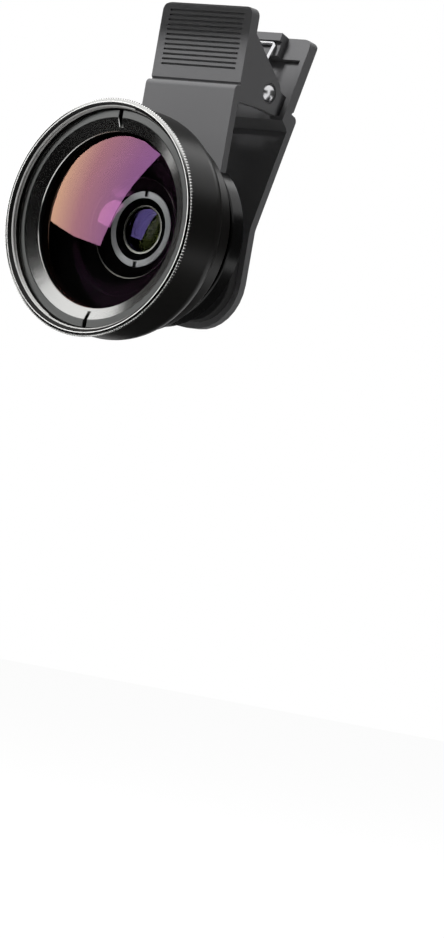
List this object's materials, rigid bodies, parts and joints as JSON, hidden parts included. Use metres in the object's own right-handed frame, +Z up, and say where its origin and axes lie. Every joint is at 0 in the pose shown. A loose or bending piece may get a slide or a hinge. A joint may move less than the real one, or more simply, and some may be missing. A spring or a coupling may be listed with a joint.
{
  "type": "clip-on phone lens",
  "caption": "Wide-angle and macro lens in two screwed barrels, on a sprung clip that grips the edge of a phone.",
  "frame": {"origin": "on the optical axis, in the plane where the soft seat ring rests on the phone", "axes": "-Y along the optical axis towards the subject, +Y through the phone to the back jaw, +Z up the clip's levers, +X across them"},
  "size_m": [0.0524, 0.0496, 0.0785],
  "materials": {
    "wide_barrel": "black anodised, rim cut bright",
    "front_ring": "satin, clear anodised",
    "front_element": "polished, coated",
    "macro_barrel": "black anodised",
    "macro_ring": "satin, dark grey",
    "macro_front_lens": "polished, coated",
    "macro_spacer": "flat black",
    "macro_rear_lens": "polished, coated",
    "clip_ring": "black anodised",
    "seat_pad": "soft, matte",
    "front_lever": "fine matte texture",
    "back_lever": "fine matte texture",
    "back_pad": "soft, matte",
    "pivot_pin": "polished plating",
    "torsion_spring": "bright plated wire"
  },
  "bodies": {
    "clip_front": {"front_lever": "front_lever", "clip_ring": "clip_ring", "seat_pad": "seat_pad", "pivot_pin": "pivot_pin", "torsion_spring": "torsion_spring"},
    "clip_back": {"back_lever": "back_lever", "back_pad": "back_pad"},
    "macro_carrier": {"macro_rear_lens": "macro_rear_lens"},
    "macro_unit": {"macro_barrel": "macro_barrel", "macro_ring": "macro_ring", "macro_front_lens": "macro_front_lens", "macro_spacer": "macro_spacer"},
    "wide_carrier": {"front_element": "front_element"},
    "wide_unit": {"wide_barrel": "wide_barrel", "front_ring": "front_ring"}
  },
  "joints": [
    {"name": "clip_hinge", "type": "hinge", "parent": "clip_front", "child": "clip_back", "pos_m": [0, 0.0086, 0.0351], "axis": [1, 0, 0], "range_deg": [-8, 25], "stiffness_Nm_per_rad": 0.18, "springref_deg": -68.75, "deforming": ["torsion_spring"]},
    {"name": "macro_travel", "type": "slide", "parent": "clip_front", "child": "macro_carrier", "axis": [0, -1, 0], "range_m": [0, 0.00188]},
    {"name": "macro_screw", "type": "hinge", "parent": "macro_carrier", "child": "macro_unit", "pos_m": [0, 0, 0], "axis": [0, -1, 0], "range_deg": [0, 900]},
    {"name": "wide_travel", "type": "slide", "parent": "macro_unit", "child": "wide_carrier", "axis": [0, -1, 0], "range_m": [0, 0.00188]},
    {"name": "wide_screw", "type": "hinge", "parent": "wide_carrier", "child": "wide_unit", "pos_m": [0, 0, 0], "axis": [0, -1, 0], "range_deg": [0, 900]}
  ],
  "couplings": [
    {"joint": "macro_travel", "follows": "macro_screw", "m_per_rad": 0.00011937},
    {"joint": "wide_travel", "follows": "wide_screw", "m_per_rad": 0.00011937}
  ]
}
